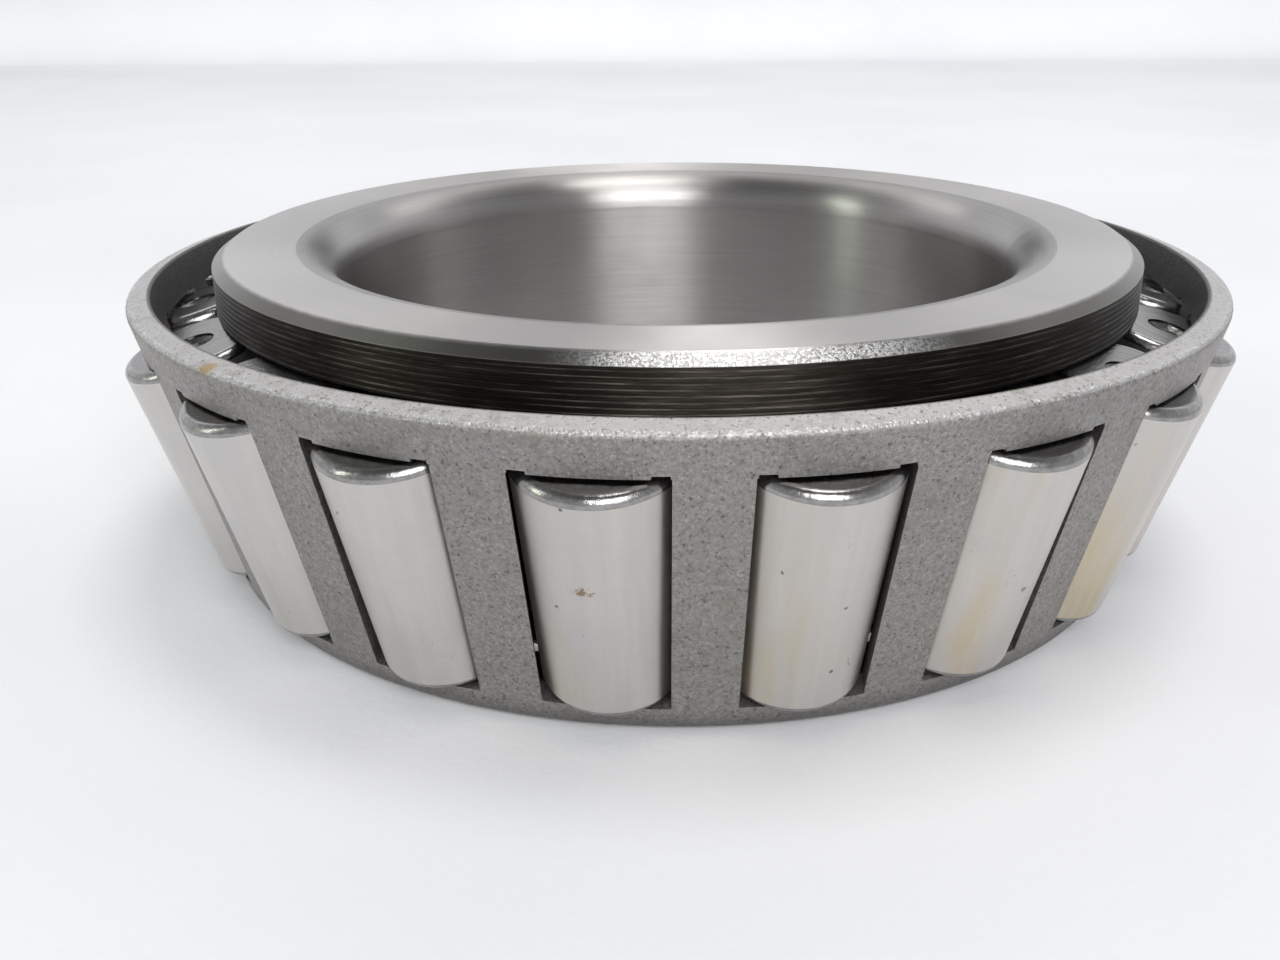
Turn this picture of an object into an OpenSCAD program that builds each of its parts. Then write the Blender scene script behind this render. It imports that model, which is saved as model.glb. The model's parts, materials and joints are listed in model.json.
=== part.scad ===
// Tapered roller bearing, cone assembly: inner ring, cage and a row of tapered rollers.
// It stands on the small end of the cage. +Z is the shaft axis and the large rib is on top.
// Every cone, roller axis and pocket points at one apex on the axis, far below the bearing.

/* [Inner ring] */
// Bore diameter of the inner ring
bore_d = 60.325; // [60.2:0.005:60.45]
// Width of the inner ring between its two faces
ring_w = 25.4; // [25.2:0.05:25.8]
// Corner radius where the bore meets the back face
back_corner_r = 3.5; // [2.5:0.1:4.5]
// Corner radius where the bore meets the front face
front_corner_r = 1.3; // [0.8:0.1:1.6]
// Diameter of the large rib that guides the rollers
rib_d = 81.1; // [80.6:0.1:81.6]
// Diameter of the small rib that keeps the rollers on
small_rib_d = 68.8; // [68.4:0.1:69.2]
// Number of fine turned grooves around the large rib
rib_grooves = 7; // [0:1:8]

/* [Rollers] */
// Number of rollers
roller_count = 19; // [16:1:19]
// Roller diameter at its large end
roller_d = 11.6; // [11.4:0.05:11.7]
// Roller length over both end faces
roller_len = 19.4; // [19.0:0.1:19.5]
// Corner radius at the large end of a roller
roller_edge_r = 0.8; // [0.5:0.1:1]
// Diameter of the recess in the large end of a roller
dimple_d = 3.4; // [2:0.1:5]

/* [Raceways] */
// Half angle of the outer raceway that the rollers run against, in degrees
cup_angle = 17; // [17:0.1:17.2]
// Half angle of the raceway on the inner ring, in degrees
cone_angle = 13; // [13:0.1:13.2]
// Depth of the rollers' large ends below the back face, on the roller axis
roller_depth = 5.2; // [5.1:0.05:5.3]

/* [Cage] */
// Sheet thickness of the pressed cage
sheet = 2.1; // [1.9:0.05:2.1]
// How far the cage stands out past the front face of the ring
cage_drop = 2; // [1.9:0.1:2.3]
// Inside diameter of the turned-in flange at the small end
flange_d = 69.6; // [69.4:0.1:72]
// Width of the plain band above the pockets
cage_band = 3.3; // [3.0:0.1:3.5]
// Pocket width on the outer surface, as a fraction of the roller diameter
pocket_ratio = 0.875; // [0.87:0.005:0.88]

/* [Hidden] */
$fn = 96;
// Cuts run this far past the surfaces that they open.
overcut = 1;
sliver = 0.01;

// Raceway geometry: angles, apex height and distances from the apex along a roller axis.
tilt = (cup_angle + cone_angle) / 2;
half_taper = (cup_angle - cone_angle) / 2;
total_h = cage_drop + ring_w;
big_end = roller_d / 2 / tan(half_taper);
small_end = big_end - roller_len;
apex_z = total_h - roller_depth - big_end * cos(tilt);

// Running clearances
race_gap = 0.06;
rib_gap = 0.08;
small_rib_gap = 0.3;
pocket_top_gap = 0.25;
pocket_bottom_gap = 0.2;

// Inner ring
bore_r = bore_d / 2;
rib_r = rib_d / 2;
small_rib_r = small_rib_d / 2;
rib_edge_w = 1.1;
rib_edge_h = 0.75;
rib_corner = 0.25;
front_edge = 0.8;
groove_depth = 0.07;
groove_w = 0.16;
groove_pitch = 0.42;
groove_inset = 0.34;
relief_r = 0.45;
ring_colour = [0.62, 0.61, 0.59];

// Rollers
small_edge_r = 0.6;
dimple_depth = 0.5;
dimple_wall = 0.2;
dimple_floor = 0.7;
roller_colour = [0.74, 0.73, 0.71];

// Cage: the sheet lies parallel to the roller axes, this far outside them.
sheet_out = 3.9;
sheet_in = sheet_out - sheet;
pocket_top = big_end + pocket_top_gap;
pocket_bottom = small_end - pocket_bottom_gap;
cage_top = pocket_top + cage_band;
flank_angle = 16;
bend_r = 1.8;
rim_r = 0.45;
flange_edge_r = 0.5;
notch_w = 1.2;
notch_h = 0.25;
cage_colour = [0.5, 0.49, 0.48];
pitch = 360 / roller_count;
// The first roller sits this far round from the middle of the front.
first_roller = -6.4 - 3 * pitch;

function two_digits(i) = str(i < 10 ? "0" : "", i);
function roller_name(i) = str("roller_", two_digits(i));

// A point in the half section [radius, height]: s along a roller axis from the apex, h outward from it.
function from_apex(s, h) = [s * sin(tilt) + h * cos(tilt), apex_z + s * cos(tilt) - h * sin(tilt)];

// The point at radius r on the plane square to the roller axis at distance s.
function on_end_plane(s, r) = from_apex(s, (r - s * sin(tilt)) / cos(tilt));

// The point on the inner raceway, less its running gap, at distance s.
function on_raceway(s) = from_apex(s, -s * tan(half_taper) - race_gap / cos(half_taper));

function direction(a, b) = (b - a) / norm(b - a);

// The sliver outside an arc of radius r that rounds corner p between its neighbours a and b.
module corner_sliver(a, p, b, r) {
    to_a = direction(p, a);
    to_b = direction(p, b);
    half = acos(to_a * to_b) / 2;
    run = r / tan(half);
    centre = p + direction([0, 0], to_a + to_b) * r / sin(half);
    outside = p - direction([0, 0], to_a + to_b) * sliver;
    difference() {
        polygon([p + to_a * run, outside, p + to_b * run, centre]);
        translate(centre) circle(r);
    }
}

// A half section with some of its corners rounded: rounds holds [corner number, radius] pairs.
module rounded_section(points, rounds) {
    n = len(points);
    difference() {
        polygon(points);
        for (k = rounds)
            corner_sliver(points[(k[0] + n - 1) % n], points[k[0]], points[(k[0] + 1) % n], k[1]);
    }
}

// Four points of one turned groove in the rib, at height z, from the bottom up.
function groove_points(z) = [
    [rib_r, z - groove_w / 2],
    [rib_r - groove_depth, z - groove_w / 4],
    [rib_r - groove_depth, z + groove_w / 4],
    [rib_r, z + groove_w / 2],
];

module inner_ring() {
    rib_foot = on_end_plane(big_end + rib_gap, rib_r);
    grooves_top = total_h - rib_edge_h - groove_inset;
    race_top = on_raceway(big_end - relief_r);
    race_end = on_raceway(small_end + relief_r);
    section = concat(
        [
            [bore_r, cage_drop],
            [small_rib_r - front_edge, cage_drop],
            [small_rib_r, cage_drop + front_edge],
            on_end_plane(small_end - small_rib_gap, small_rib_r),
            on_end_plane(small_end - small_rib_gap, race_end[0]),
            race_end,
            race_top,
            on_end_plane(big_end + rib_gap, race_top[0]),
            on_end_plane(big_end + rib_gap, rib_r - rib_corner),
            rib_foot + [0, rib_corner],
        ],
        [for (i = [rib_grooves - 1:-1:0], p = groove_points(grooves_top - i * groove_pitch)) p],
        [
            [rib_r, total_h - rib_edge_h],
            [rib_r - rib_edge_w, total_h],
            [bore_r, total_h],
        ]
    );
    last = len(section) - 1;
    color(ring_colour)
        rotate_extrude()
            rounded_section(section, [[0, front_corner_r], [last, back_corner_r]]);
}

// The pocket's cut from one side: a block whose flank leans out towards the inside of the cage.
module pocket_side() {
    flare = tan(flank_angle);
    taper = atan(tan(half_taper) * pocket_ratio);
    rotate([0, taper, 0])
        linear_extrude(cage_top * 2, center = true)
            polygon([
                [-roller_d, sheet_in - overcut],
                [(sheet + overcut) * flare, sheet_in - overcut],
                [-overcut * flare, sheet_out + overcut],
                [-roller_d, sheet_out + overcut],
            ]);
}

// One pocket, with its relief notches, in the roller's own frame: Z along its axis, Y outward.
module pocket() {
    half_w = big_end * tan(half_taper) * pocket_ratio;
    h = sheet + 2 * overcut;
    intersection() {
        pocket_side();
        mirror([1, 0, 0]) pocket_side();
        translate([-roller_d, sheet_in - overcut * 2, pocket_bottom])
            cube([2 * roller_d, h + 2 * overcut, pocket_top - pocket_bottom]);
    }
    for (side = [-1, 1])
        translate([side * (half_w - notch_w / 2) - notch_w / 2, sheet_in - overcut, pocket_top - overcut])
            cube([notch_w, h, overcut + notch_h]);
}

// Puts a child drawn along +Z, with +Y outward, onto the axis of roller i.
module at_roller(i) {
    rotate([0, 0, first_roller + (i - 1) * pitch])
        translate([0, 0, apex_z])
            mirror([0, 1, 0])
                rotate([-tilt, 0, 0])
                    children();
}

module cage() {
    outer_foot = [sheet_out / cos(tilt) - apex_z * tan(tilt), 0];
    inner_foot = [sheet_in / cos(tilt) + (sheet - apex_z) * tan(tilt), sheet];
    section = [
        [flange_d / 2, 0],
        outer_foot,
        from_apex(cage_top, sheet_out),
        from_apex(cage_top, sheet_in),
        inner_foot,
        [flange_d / 2, sheet],
    ];
    color(cage_colour)
        difference() {
            rotate_extrude()
                rounded_section(section, [[0, flange_edge_r], [1, bend_r], [2, rim_r], [3, rim_r / 2]]);
            for (i = [1:roller_count]) at_roller(i) pocket();
        }
}

// One roller in its own frame, its axis on Z and the apex of its cone at the origin.
module roller() {
    big_r = roller_d / 2;
    small_r = small_end * tan(half_taper);
    dimple_r = dimple_d / 2;
    section = [
        [0, small_end],
        [small_r, small_end],
        [big_r, big_end],
        [dimple_r, big_end],
        [dimple_r, big_end - dimple_wall],
        [dimple_r * dimple_floor, big_end - dimple_depth],
        [0, big_end - dimple_depth],
    ];
    color(roller_colour)
        rotate_extrude()
            rounded_section(section, [[1, small_edge_r], [2, roller_edge_r]]);
}

inner_ring();
cage();
for (i = [1:roller_count])
    at_roller(i) roller();
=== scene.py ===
"""Looks of the tapered roller bearing: satin ground ring, blasted steel cage, honed rollers.

Lengths in the materials are millimetres, everything else is metres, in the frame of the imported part.
"""
import json
import math

import bpy
from mathutils import Matrix, Vector


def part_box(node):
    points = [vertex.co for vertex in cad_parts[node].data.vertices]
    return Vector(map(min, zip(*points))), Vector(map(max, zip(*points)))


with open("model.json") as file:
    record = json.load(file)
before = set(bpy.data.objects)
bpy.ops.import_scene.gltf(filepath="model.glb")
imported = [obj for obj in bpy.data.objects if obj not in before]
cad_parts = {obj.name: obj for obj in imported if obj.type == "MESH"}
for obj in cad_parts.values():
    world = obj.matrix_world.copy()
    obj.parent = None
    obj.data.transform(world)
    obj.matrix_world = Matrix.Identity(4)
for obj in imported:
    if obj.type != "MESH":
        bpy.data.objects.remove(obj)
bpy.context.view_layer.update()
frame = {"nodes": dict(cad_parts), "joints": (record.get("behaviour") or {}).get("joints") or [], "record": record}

MM = 0.001

# Sizes of the inner ring. Heights are measured down from its top face.
ring_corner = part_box("inner_ring")[1] / MM
RING_TOP = ring_corner.z
RIB_R = ring_corner.x
BORE_R = next(m for m in frame["record"]["mounts"] if m["name"] == "bore")["dims"]["r_mm"]
BORE_CORNER_R = 3.5
RIB_HEIGHT = 4.4
RIB_EDGE_H = 0.75
RIB_EDGE_W = 1.1
GROOVE_TOP = 0.88
GROOVE_PITCH = 0.42

# Sizes of the cage. Its sheet is parallel to the roller axes, which meet at the apex.
TILT = math.radians(15)
APEX_Z = -138.23
CAGE_TOP = 169.64
SHEET_OUT = 3.9
SHEET_IN = 1.8

# Sizes of a roller
ROLLER_LEN = 19.4
ROLLER_R = 5.8
LARGE_EDGE_R = 0.8
SMALL_EDGE_R = 0.6
DIMPLE_R = 1.7

# The rib's chamfer is scuffed on this side of the ring, where it also carries a painted highlight, and the cage's
# rim has one ochre spot.
HIGHLIT_SCUFFED_SIDE = (math.sin(math.radians(8)), -math.cos(math.radians(8)), 0)
OCHRE_SPOT = (-31.9, -34.7, 25.0)

# Colours, as linear reflectances
RACEWAY_SHADE = (0.11, 0.098, 0.084, 1)
GROOVE_BLACK = (0.030, 0.026, 0.021, 1)
GROOVE_WORN = (0.115, 0.101, 0.087, 1)
GROOVE_CREST = (0.36, 0.33, 0.30, 1)
CHAMFER_DULL = (0.090, 0.088, 0.076, 1)
CAGE_BROWN = (0.24, 0.205, 0.155, 1)
PIT_BROWN = (0.080, 0.066, 0.050, 1)
RUST = (0.22, 0.13, 0.055, 1)
SPOT_OCHRE = (0.38, 0.235, 0.04, 1)
COOL_STEEL = (0.55, 0.548, 0.56, 1)
FILM_OCHRE = (0.57, 0.45, 0.22, 1)
SMEAR_BROWN = (0.17, 0.10, 0.045, 1)
MARK_BROWN = (0.23, 0.14, 0.045, 1)
SPECK_BLACK = (0.07, 0.06, 0.05, 1)
SCRATCH_BROWN = (0.20, 0.17, 0.14, 1)
PAPER_DARK = (0.80, 0.81, 0.835, 1)
PAPER_LIGHT = (0.845, 0.85, 0.865, 1)

# Brown marks on single rollers: where they are, across and along the roller, and their size.
MARKS = {
    "roller_04": [((0.6, 2.1), 0.9)],
    "roller_06": [((-0.6, -1.5), 0.5)],
    "roller_16": [((1.5, 3.0), 0.7)],
}
# How much ochre film these rollers carry. The rest have a little, by their number.
STAINS = {
    "roller_03": 0.12,
    "roller_04": 0.16,
    "roller_05": 0.42,
    "roller_06": 0.6,
    "roller_07": 0.65,
    "roller_13": 0.5,
}


def grey(level, warmth=0.0):
    """A steel colour: level is the reflectance, and warmth shifts it from blue to red."""
    return (level * (1 + warmth), level, level * (1 - warmth), 1)


class Shader:
    """A node material. Each method adds a node and returns its output, so that calls can be nested."""

    def __init__(self, name, **constants):
        self.material = bpy.data.materials.new(name)
        self.material.use_nodes = True
        self.tree = self.material.node_tree
        self.tree.nodes.clear()
        output = self.tree.nodes.new("ShaderNodeOutputMaterial")
        self.surface = self.tree.nodes.new("ShaderNodeBsdfPrincipled")
        self.tree.links.new(self.surface.outputs[0], output.inputs["Surface"])
        for socket, value in constants.items():
            self.surface.inputs[socket.replace("_", " ")].default_value = value

    def put(self, socket, value):
        """Links a node's output to the socket, or sets a plain value."""
        if isinstance(value, bpy.types.NodeSocket):
            self.tree.links.new(value, socket)
        else:
            socket.default_value = value

    def set(self, **sockets):
        for key, value in sockets.items():
            self.put(self.surface.inputs[key.replace("_", " ")], value)

    def add(self, kind, inputs=None, output=0, **settings):
        node = self.tree.nodes.new("ShaderNode" + kind)
        for key, value in settings.items():
            setattr(node, key, value)
        for key, value in (inputs or {}).items():
            self.put(node.inputs[key], value)
        return node.outputs[output]

    # Numbers
    def math(self, operation, a, b=0.0):
        return self.add("Math", {0: a, 1: b}, operation=operation)

    def plus(self, a, b):
        return self.math("ADD", a, b)

    def minus(self, a, b):
        return self.math("SUBTRACT", a, b)

    def times(self, first, *others):
        product = first
        for other in others:
            product = self.math("MULTIPLY", product, other)
        return product

    def inverse(self, a):
        return self.minus(1.0, a)

    def either(self, a, b):
        return self.math("MAXIMUM", a, b)

    def step(self, value, low, high, start=0.0, end=1.0):
        """From start to end as value goes from low to high, with soft shoulders."""
        return self.add(
            "MapRange",
            {"Value": value, "From Min": low, "From Max": high, "To Min": start, "To Max": end},
            interpolation_type="SMOOTHSTEP",
        )

    def band(self, value, low, high, soft):
        """1 between low and high, 0 outside."""
        rise = self.step(value, low - soft, low + soft)
        fall = self.step(value, high - soft, high + soft, 1.0, 0.0)
        return self.times(rise, fall)

    # Vectors
    def vectors(self, operation, a, b=(0, 0, 0), output=0):
        return self.add("VectorMath", {0: a, 1: b}, output=output, operation=operation)

    def vector(self, x, y, z):
        return self.add("CombineXYZ", {0: x, 1: y, 2: z})

    def split(self, vector):
        node = self.add("SeparateXYZ", {0: vector}).node
        return node.outputs[0], node.outputs[1], node.outputs[2]

    def scaled(self, vector, factors):
        return self.vectors("MULTIPLY", vector, factors)

    def distance(self, a, b):
        return self.vectors("DISTANCE", a, b, output=1)

    def millimetres(self):
        """The point in millimetres, in the frame of the part at rest."""
        point = self.add("TexCoord", output=3)
        return self.scaled(point, (1 / MM,) * 3)

    def polar(self, point):
        """Distance from the Z axis, and the unit direction away from it."""
        flat = self.scaled(point, (1, 1, 0))
        radius = self.vectors("LENGTH", flat, output=1)
        away = self.vectors("NORMALIZE", flat)
        return radius, away

    def ringed(self, away, around, value, across):
        """Coordinates for lines round the Z axis. around breaks the lines up, across packs them closer."""
        turned = self.scaled(away, (around, around, 0))
        return self.vectors("ADD", turned, self.vector(0.0, 0.0, self.times(value, across)))

    # Patterns
    def noise(self, vector, scale, detail=3.0, roughness=0.55, distortion=0.0):
        inputs = {"Vector": vector, "Scale": scale, "Detail": detail}
        inputs.update({"Roughness": roughness, "Distortion": distortion})
        return self.add("TexNoise", inputs)

    def cells(self, vector, scale, output=0):
        return self.add("TexVoronoi", {"Vector": vector, "Scale": scale}, output=output)

    # Colours and bumps
    def mix(self, factor, a, b):
        """Colour a at factor 0, colour b at factor 1."""
        node = self.tree.nodes.new("ShaderNodeMix")
        node.data_type = "RGBA"
        colours = [socket for socket in node.inputs if socket.type == "RGBA"]
        self.put(node.inputs[0], factor)
        self.put(colours[0], a)
        self.put(colours[1], b)
        return next(socket for socket in node.outputs if socket.type == "RGBA")

    def blend(self, value, low, high, dark, light):
        """From the first colour to the second as value goes from low to high."""
        return self.mix(self.step(value, low, high), dark, light)

    def over(self, colour, tint, amount, *masks):
        """colour, with the tint laid over it by amount where every mask is 1."""
        return self.mix(self.times(amount, *masks), colour, tint)

    def bump(self, height, depth, normal=None):
        """depth is the height's full range, in millimetres."""
        inputs = {"Height": height, "Distance": depth * MM, "Strength": 1.0}
        if normal is not None:
            inputs["Normal"] = normal
        return self.add("Bump", inputs)


# ---------------------------------------------------------------- inner ring
def ring_material():
    shader = Shader("ring_ground_steel", Metallic=1.0, Anisotropic=0.92, Anisotropic_Rotation=0.25)
    point = shader.millimetres()
    radius, away = shader.polar(point)
    height = shader.split(point)[2]

    # Turned and ground surfaces are finely lined around the axis.
    section = shader.plus(radius, shader.times(height, 1.13))
    lines = shader.ringed(away, 1.5, section, 5.0)
    fine_lines = shader.noise(lines, scale=1.6, detail=4, roughness=0.7)
    broad_lines = shader.noise(lines, scale=0.22, detail=2, roughness=0.5)
    mottle = shader.noise(point, scale=0.16, detail=4, roughness=0.6)
    grit = shader.noise(point, scale=4.5, detail=2, roughness=0.6)
    lined = shader.step(fine_lines, 0.3, 0.7)

    # Where the outside of the large rib and its chamfer are
    edge_z = RING_TOP - RIB_EDGE_H
    foot_z = RING_TOP - RIB_HEIGHT
    below_edge = shader.step(height, edge_z - 0.06, edge_z + 0.04, 1.0, 0.0)
    above_foot = shader.step(height, foot_z - 1.2, foot_z - 0.8)
    rib = shader.times(shader.step(radius, RIB_R - 0.45, RIB_R - 0.2), below_edge, above_foot)
    sloping = shader.step(shader.plus(radius, height), RIB_R + RING_TOP - 1.15, RIB_R + RING_TOP - 1.0)
    past_face = shader.step(radius, RIB_R - RIB_EDGE_W - 0.05, RIB_R - RIB_EDGE_W + 0.1)
    chamfer = shader.times(sloping, shader.inverse(below_edge), past_face)

    # Where the bore's corner, its wall, and the surfaces behind the rollers are
    corner_r = BORE_R + BORE_CORNER_R
    corner_z = RING_TOP - BORE_CORNER_R
    corner = shader.step(radius, corner_r - 0.06, corner_r - 0.16)
    wall = shader.step(height, corner_z + 0.2, corner_z - 0.8)
    inside = shader.step(radius, corner_r - 0.1, corner_r - 0.9)
    outside_bore = shader.step(radius, corner_r - 1.0, corner_r - 0.5)
    behind = shader.times(outside_bore, shader.step(height, foot_z - 0.8, foot_z - 1.2))

    # The rib is rough turned, and worn bright on the crests between its grooves.
    streaks = shader.noise(shader.ringed(away, 7, height, 3.0), scale=1.0, detail=5, roughness=0.72)
    worn = shader.step(streaks, 0.42, 0.7)
    below_grooves = shader.minus(RING_TOP - GROOVE_TOP, height)
    phase = shader.math("FRACT", shader.times(below_grooves, 1 / GROOVE_PITCH))
    crest = shader.band(phase, 0.42, 0.60, 0.09)

    # The chamfer is scuffed along one side, and is painted lighter there as a highlight laid over its real nicks.
    facing = shader.vectors("DOT_PRODUCT", away, HIGHLIT_SCUFFED_SIDE, output=1)
    highlit_scuffed = shader.step(facing, 0.935, 0.985)
    grains = shader.step(shader.noise(point, scale=4.4, detail=4, roughness=0.72), 0.42, 0.60)
    highlit_nicks = shader.times(grains, highlit_scuffed)

    colour = shader.blend(mottle, 0.3, 0.7, grey(0.49, 0.026), grey(0.53, 0.03))
    colour = shader.over(colour, grey(0.42, 0.03), 0.25, lined)
    turned = shader.mix(lined, grey(0.32, 0.03), grey(0.375, 0.03))
    honed = shader.mix(lined, grey(0.355, 0.03), grey(0.41, 0.03))
    colour = shader.mix(corner, colour, shader.mix(wall, turned, honed))
    # Painted shade: the raceway surfaces behind the rollers are darkened almost to black, for the shade between
    # the parts.
    colour = shader.over(colour, RACEWAY_SHADE, 0.8, behind)
    grooved = shader.over(GROOVE_BLACK, GROOVE_WORN, 0.4, worn)
    bright = shader.plus(shader.times(worn, 0.7), 0.1)
    grooved = shader.over(grooved, GROOVE_CREST, crest, bright)
    colour = shader.mix(rib, colour, grooved)
    # Painted highlight: on the scuffed side the chamfer is less darkened and its nicks are nearly white; elsewhere
    # it stays dark.
    dull = shader.plus(shader.times(highlit_scuffed, -0.45), 0.9)
    colour = shader.over(colour, CHAMFER_DULL, chamfer, dull)
    colour = shader.over(colour, grey(0.92), 0.8, chamfer, highlit_nicks)

    # The bore is polished a little more than the face, and the rib less.
    rough = shader.plus(shader.times(shader.step(mottle, 0.2, 0.8), 0.06), 0.33)
    rough = shader.minus(rough, shader.times(inside, 0.035))
    rough = shader.plus(rough, shader.times(rib, 0.12))
    rough = shader.minus(rough, shader.times(chamfer, highlit_scuffed, 0.04))

    normal = shader.bump(fine_lines, 0.006)
    normal = shader.bump(broad_lines, 0.01, normal)
    normal = shader.bump(shader.times(grit, shader.inverse(inside)), 0.003, normal)
    normal = shader.bump(shader.times(highlit_nicks, highlit_scuffed, chamfer), 0.008, normal)
    normal = shader.bump(shader.times(grit, chamfer), 0.012, normal)
    normal = shader.bump(shader.times(shader.plus(streaks, crest), rib), 0.05, normal)
    tangent = shader.add("Tangent", direction_type="RADIAL", axis="Z")
    shader.set(Base_Color=colour, Roughness=rough, Normal=normal, Tangent=tangent)
    return shader.material


# ---------------------------------------------------------------- cage
def cage_material():
    shader = Shader("cage_blasted_steel", Metallic=1.0)
    point = shader.millimetres()
    radius, _ = shader.polar(point)
    height = shader.split(point)[2]

    # Distance from the apex along the roller axes, and outward from the nearest axis
    rise = shader.minus(height, APEX_Z)
    along = shader.plus(shader.times(radius, math.sin(TILT)), shader.times(rise, math.cos(TILT)))
    outward = shader.minus(shader.times(radius, math.cos(TILT)), shader.times(rise, math.sin(TILT)))
    rim = shader.step(along, CAGE_TOP - 0.2, CAGE_TOP - 0.06)
    highlit_rim_edge = shader.times(rim, shader.step(outward, SHEET_OUT - 0.8, SHEET_OUT - 0.4))
    shaded_lining = shader.step(outward, SHEET_IN + 0.35, SHEET_IN + 0.1)
    lit_rim_face = shader.times(rim, shader.inverse(shaded_lining))
    foot = shader.step(height, 2.6, 0.3)

    # The blasted surface: grains, pits and single crystals that glint
    grain = shader.noise(point, scale=3.2, detail=4, roughness=0.78)
    dents = shader.cells(point, 5.0)
    coarse = shader.noise(point, scale=1.1, detail=3, roughness=0.6)
    cloud = shader.noise(point, scale=0.11, detail=4, roughness=0.6)
    crystal = shader.split(shader.cells(point, 6.5, output=1))[0]
    glint = shader.step(crystal, 0.9, 0.97)
    pit = shader.step(shader.noise(point, scale=3.4, detail=3, roughness=0.62), 0.57, 0.68)
    brown = shader.times(shader.step(coarse, 0.48, 0.66), shader.step(cloud, 0.42, 0.58))
    rust = shader.times(
        shader.step(shader.noise(point, scale=0.75, detail=5, roughness=0.75, distortion=0.8), 0.66, 0.74),
        shader.step(shader.noise(point, scale=0.07, detail=2, roughness=0.5), 0.5, 0.62),
    )
    ragged = shader.times(shader.noise(point, scale=2.2, detail=3, roughness=0.6), 0.8)
    spot = shader.step(shader.plus(shader.distance(point, OCHRE_SPOT), ragged), 1.3, 0.9)

    colour = shader.blend(grain, 0.25, 0.75, grey(0.205, 0.05), grey(0.40, 0.045))
    colour = shader.over(colour, grey(0.27, 0.004), 0.35, shader.step(cloud, 0.35, 0.65))
    colour = shader.over(colour, grey(0.75), 0.16, glint)
    # Painted highlight: the rim's top face is lightened, and its rounded outer edge more so in sparkling crystals,
    # where the lamps' highlight runs.
    colour = shader.over(colour, grey(0.60, 0.014), 0.6, lit_rim_face)
    colour = shader.over(colour, grey(0.70), 0.8, highlit_rim_edge, shader.step(crystal, 0.6, 0.9))
    colour = shader.over(colour, CAGE_BROWN, 0.35, brown)
    colour = shader.over(colour, PIT_BROWN, 0.62, pit)
    # Painted shade: the bottom of the cage, next to the floor, is darkened as a contact shadow.
    colour = shader.over(colour, grey(0.12, 0.02), 0.65, foot)
    # Painted shade: the cage's inner side, in the shade between cage and ring, is darkened nearly to black.
    colour = shader.over(colour, grey(0.085, 0.03), 0.8, shaded_lining)
    colour = shader.over(colour, RUST, 0.5, rust)
    colour = shader.over(colour, SPOT_OCHRE, 0.7, spot)

    rough = shader.plus(shader.times(coarse, 0.22), 0.42)
    rough = shader.minus(rough, shader.times(glint, rim, 0.2))
    rough = shader.minus(rough, shader.times(rim, 0.06))

    normal = shader.bump(grain, 0.05)
    dented = shader.plus(shader.times(highlit_rim_edge, 0.7), 0.3)
    normal = shader.bump(shader.times(dents, dented), 0.05, normal)
    normal = shader.bump(shader.times(coarse, shader.inverse(rim)), 0.03, normal)
    shader.set(Base_Color=colour, Roughness=rough, Normal=normal)
    return shader.material


# ---------------------------------------------------------------- rollers
def roller_frame(joint):
    """The rotation to a roller's own frame, and its middle. Z is its axis, Y points away from the shaft."""
    axis = Vector(joint["axis"]).normalized()
    middle = Vector(joint["pos_m"]) / MM
    away = Vector((middle.x, middle.y, 0)).normalized()
    outward = (away - axis * away.dot(axis)).normalized()
    return Matrix((outward.cross(axis), outward, axis)), middle


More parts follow.
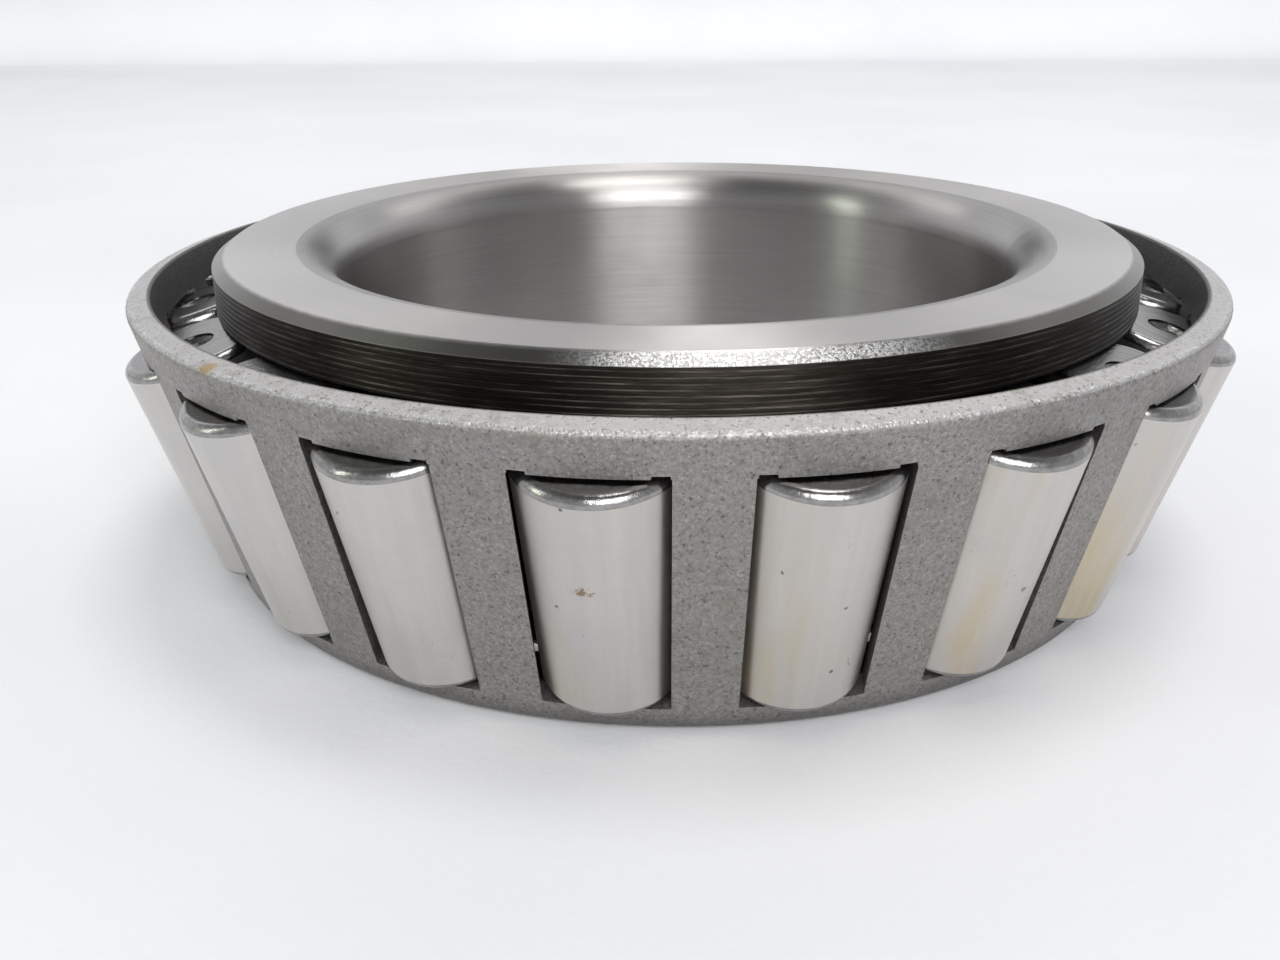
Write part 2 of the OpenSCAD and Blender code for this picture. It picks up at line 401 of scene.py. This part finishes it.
def roller_material(name, joint, seed, stain, marks):
    """stain is how much ochre film there is, from 0 to 1. marks are brown ones, listed as in MARKS."""
    turn, middle = roller_frame(joint)
    shader = Shader("steel_" + name, Metallic=1.0)
    to_roller = {
        "Vector": shader.add("TexCoord", output=3),
        "Scale": (1 / MM,) * 3,
        "Rotation": turn.to_euler("XYZ"),
        "Location": -(turn @ middle),
    }
    point = shader.add("Mapping", to_roller, vector_type="POINT")
    across, outward, along = shader.split(point)
    radius, _ = shader.polar(point)
    shifted = shader.vectors("ADD", point, (seed * 31.7, seed * 17.3, seed * 7.9))

    # Where the rounded ends, the large end's flat face and its dimple are
    depth = shader.minus(ROLLER_LEN / 2, along)
    small_corner = ROLLER_LEN - SMALL_EDGE_R
    large_end = shader.step(depth, LARGE_EDGE_R - 0.02, LARGE_EDGE_R - 0.08)
    small_end = shader.step(depth, small_corner, small_corner + 0.06)
    ends = shader.either(large_end, small_end)
    flat_r = ROLLER_R - LARGE_EDGE_R
    face = shader.times(shader.step(depth, 0.06, 0.02), shader.step(radius, flat_r + 0.1, flat_r))
    dimple = shader.step(radius, DIMPLE_R + 0.03, DIMPLE_R - 0.03)
    dimple = shader.times(dimple, shader.step(depth, 0.03, 0.08), large_end)

    # Honing lines run around the roller, and faint streaks run along it.
    hone = shader.noise(shader.scaled(shifted, (0.35, 0.35, 9.0)), scale=1.0, detail=3, roughness=0.7)
    streak = shader.noise(shader.scaled(shifted, (1.1, 1.1, 0.06)), scale=1.0, detail=3, roughness=0.6)
    cloud = shader.noise(shifted, scale=0.22, detail=4, roughness=0.62)
    grain = shader.noise(shifted, scale=5.5, detail=2, roughness=0.6)
    colour = shader.blend(streak, 0.3, 0.7, grey(0.56, 0.036), grey(0.595, 0.044))
    colour = shader.over(colour, COOL_STEEL, 0.35, shader.step(cloud, 0.45, 0.7))
    colour = shader.over(colour, grey(0.50, 0.02), 0.18, shader.step(hone, 0.35, 0.65))

    # The ochre film is strongest on one side and near the small end.
    film = shader.noise(
        shader.scaled(shifted, (0.42, 0.42, 0.07)), scale=1.0, detail=3, roughness=0.55, distortion=0.3
    )
    side = shader.plus(shader.times(shader.band(across, 1.2, 5.4, 0.7), 0.85), 0.15)
    low = shader.plus(shader.times(shader.step(along, 6.0, -8.0), 0.65), 0.35)
    film = shader.times(shader.step(film, 0.28, 0.66), shader.times(side, low))
    colour = shader.over(colour, FILM_OCHRE, stain, film)

    # Small brown smears, placed marks, dark specks and thin scratches
    smear = shader.noise(
        shader.scaled(shifted, (1.3, 1.3, 0.8)), scale=0.75, detail=5, roughness=0.75, distortion=1.6
    )
    smeared = shader.step(shader.noise(shifted, scale=0.13, detail=1, roughness=0.5), 0.52, 0.60)
    smear = shader.times(shader.step(smear, 0.655, 0.70), smeared)
    colour = shader.over(colour, SMEAR_BROWN, 0.7, smear)
    squash_x, squash_z = 0.8, 1.2
    for (mark_x, mark_z), size in marks:
        flat = shader.scaled(point, (squash_x, 0, squash_z))
        near = shader.distance(flat, (mark_x * squash_x, 0, mark_z * squash_z))
        ragged = shader.noise(shifted, scale=1.5, detail=4, roughness=0.75, distortion=1.2)
        near = shader.plus(near, shader.times(ragged, 2.4 * size))
        mark = shader.times(shader.step(near, 1.75 * size, 1.4 * size), shader.step(outward, 0.0, 1.0))
        colour = shader.over(colour, MARK_BROWN, 0.8, mark)
    speck = shader.step(shader.cells(shifted, 0.42), 0.085, 0.05)
    specked = shader.step(shader.noise(shifted, scale=0.9, detail=1, roughness=0.5), 0.50, 0.56)
    colour = shader.over(colour, SPECK_BLACK, 0.75, speck, specked)
    hair = shader.noise(
        shader.scaled(shifted, (1.6, 1.6, 0.45)), scale=1.0, detail=2, roughness=0.5, distortion=3.0
    )
    scratched = shader.step(shader.noise(shifted, scale=0.35, detail=2, roughness=0.5), 0.60, 0.66)
    scratch = shader.times(shader.band(hair, 0.498, 0.502, 0.003), scratched)
    colour = shader.over(colour, SCRATCH_BROWN, 0.45, scratch)

    # Tumbled corners and ground ends are darker and shinier than the body.
    tumble = shader.noise(shifted, scale=1.7, detail=4, roughness=0.65)
    corner = shader.blend(tumble, 0.3, 0.7, grey(0.26, 0.012), grey(0.36, 0.03))
    colour = shader.mix(ends, colour, corner)
    rings = shader.noise(
        shader.vector(shader.times(radius, 6.0), 0.0, seed * 3.1), scale=1.0, detail=3, roughness=0.6
    )
    ground_end = shader.blend(rings, 0.3, 0.7, grey(0.17, 0.01), grey(0.25, 0.02))
    colour = shader.mix(face, colour, ground_end)
    colour = shader.over(colour, grey(0.10, 0.03), 0.6, dimple)

    rough = shader.plus(shader.times(streak, shader.inverse(ends), 0.08), 0.33)
    rough = shader.plus(rough, shader.times(shader.either(film, smear), 0.12 * stain))
    rough = shader.minus(rough, shader.times(ends, 0.11))

    normal = shader.bump(hone, 0.004)
    texture = shader.plus(shader.times(tumble, ends), shader.times(grain, 0.12))
    normal = shader.bump(texture, 0.03, normal)
    normal = shader.bump(scratch, -0.01, normal)
    shader.set(Base_Color=colour, Roughness=rough, Normal=normal)
    return shader.material


def give(node, material):
    """Puts a material on every slot of a CAD node."""
    for slot in frame["nodes"][node].material_slots:
        slot.material = material


give("inner_ring", ring_material())
give("cage", cage_material())
for joint in frame["joints"]:
    roller = joint["child"]
    if roller.startswith("roller"):
        number = int(roller.split("_")[1])
        slight_stain = 0.08 + 0.22 * (number * 7 % 5) / 4
        stain = STAINS.get(roller, slight_stain)
        give(roller, roller_material(roller, joint, number, stain, MARKS.get(roller, [])))


# ---------------------------------------------------------------- floor and backdrop
def paper_material():
    shader = Shader("paper", Roughness=0.9, Specular_IOR_Level=0.2)
    point = shader.millimetres()
    fibre = shader.noise(point, scale=0.9, detail=5, roughness=0.7)
    cloud = shader.noise(point, scale=0.012, detail=3, roughness=0.5)
    colour = shader.blend(cloud, 0.3, 0.7, PAPER_DARK, PAPER_LIGHT)
    shader.set(Base_Color=colour, Normal=shader.bump(fibre, 0.05))
    return shader.material


def paper_sweep():
    """A floor that bends up into a low wall behind the object, as one smooth sheet."""
    half_width, front = 6.0, -6.0
    wall_y, wall_top, bend = 0.56, 0.06, 0.03
    table_y = 0.3
    bend_steps, columns = 12, 9
    profile = [(front, 0.0), (-table_y, 0.0), (table_y, 0.0), (wall_y - bend, 0.0)]
    for k in range(1, bend_steps + 1):
        angle = math.pi / 2 * k / bend_steps
        profile.append((wall_y - bend + bend * math.sin(angle), bend - bend * math.cos(angle)))
    profile.append((wall_y, wall_top))
    verts = [
        (half_width * (2 * c / (columns - 1) - 1), y, z)
        for y, z in profile
        for c in range(columns)
    ]
    faces = [
        (r * columns + c, r * columns + c + 1, (r + 1) * columns + c + 1, (r + 1) * columns + c)
        for r in range(len(profile) - 1)
        for c in range(columns - 1)
    ]
    mesh = bpy.data.meshes.new("paper_sweep")
    mesh.from_pydata(verts, [], faces)
    mesh.shade_smooth()
    mesh.materials.append(paper_material())
    sweep = bpy.data.objects.new("paper_sweep", mesh)
    bpy.context.scene.collection.objects.link(sweep)
    return sweep


paper_sweep()


# ---------------------------------------------------------------- light
def area_light(name, place, target, size, power, colour):
    """A rectangular window or lamp. power is in watts."""
    data = bpy.data.lights.new(name, "AREA")
    data.shape = "RECTANGLE"
    data.size, data.size_y = size
    data.energy = power
    data.color = colour
    light = bpy.data.objects.new(name, data)
    light.location = place
    light.rotation_mode = "QUATERNION"
    light.rotation_quaternion = (Vector(target) - Vector(place)).to_track_quat("-Z", "Y")
    bpy.context.scene.collection.objects.link(light)


PART_FOOT = (0, 0, 0)
PART_MIDDLE = (0, 0, 0.02)
STRIP_FOOT = (0, 0.42, 0)
area_light("overhead", (0.09, 0.03, 0.75), PART_FOOT, (0.28, 0.24), 1.5, (1.0, 0.99, 0.97))
area_light("front_window", (0.2, -0.95, 0.6), PART_MIDDLE, (0.69, 0.7), 9.1, (0.99, 0.99, 1.0))
area_light("back_strip", (0, 0.42, 0.5), STRIP_FOOT, (1.1, 0.3), 1.2, (1.0, 1.0, 1.0))
area_light("side_window", (-0.76, -0.25, 0.35), PART_MIDDLE, (0.13, 0.45), 0.8, (0.90, 1.0, 0.84))


def studio_world():
    """A room that is bright behind the object, duller behind the camera and darker overhead."""
    world = bpy.data.worlds.new("studio")
    bpy.context.scene.world = world
    world.use_nodes = True
    tree = world.node_tree
    tree.nodes.clear()

    def node(kind, **inputs):
        made = tree.nodes.new("ShaderNode" + kind)
        for key, value in inputs.items():
            tree.links.new(value, made.inputs[key])
        return made

    def ramp(value, stops):
        """A grey that changes evenly between stops of place and level."""
        made = node("ValToRGB", Fac=value)
        for element, (place, level) in zip(made.color_ramp.elements, stops):
            element.position = place
            element.color = (level, level, level * 1.012, 1)
        return made.outputs[0]

    def combined(operation, a, b, output=0):
        made = tree.nodes.new("ShaderNodeVectorMath")
        made.operation = operation
        tree.links.new(a, made.inputs[0])
        if isinstance(b, tuple):
            made.inputs[1].default_value = b
        else:
            tree.links.new(b, made.inputs[1])
        return made.outputs[output]

    direction = node("TexCoord").outputs["Generated"]
    parts = node("SeparateXYZ", Vector=direction)
    backward = node("MapRange", Value=parts.outputs[1])
    backward.inputs["From Min"].default_value = -1.0
    depth = ramp(backward.outputs[0], [(0.33, 0.5), (0.85, 1.0)])
    rise = ramp(parts.outputs[2], [(0.42, 1.0), (0.9, 0.25)])
    room = combined("MULTIPLY", depth, rise)

    # A darker patch low behind the object, which the far side of the ring's face reflects
    from_patch = combined("DISTANCE", direction, (0.0, 0.99, 0.14), output=1)
    patch = ramp(from_patch, [(0.10, 0.2), (0.32, 1.0)])
    background = node("Background", Color=combined("MULTIPLY", room, patch))
    node("OutputWorld", Surface=background.outputs[0])


studio_world()


# ---------------------------------------------------------------- camera
def photo_camera():
    """Close to the ring and a little above it, looking down at the front of the cage."""
    distance, elevation = 0.1235, math.radians(11.22)
    roll, yaw, pitch = (math.radians(angle) for angle in (0.15, -1.46, 10.72))
    aim = Vector((0, 0, RING_TOP * MM))
    place = aim + distance * Vector((0, -math.cos(elevation), math.sin(elevation)))
    forward = (aim - place).normalized()
    right = Vector((1, 0, 0))
    to_camera = Matrix((right, right.cross(forward), -forward))
    to_camera = (
        Matrix.Rotation(roll, 3, "Z")
        @ Matrix.Rotation(pitch, 3, "X")
        @ Matrix.Rotation(yaw, 3, "Y")
        @ to_camera
    )
    data = bpy.data.cameras.new("camera")
    data.sensor_width = 36
    data.lens = 37.4
    data.clip_start = 0.005
    camera = bpy.data.objects.new("camera", data)
    camera.matrix_world = Matrix.Translation(place) @ to_camera.transposed().to_4x4()
    bpy.context.scene.collection.objects.link(camera)
    bpy.context.scene.camera = camera


photo_camera()
bpy.context.scene.view_settings.view_transform = "Standard"
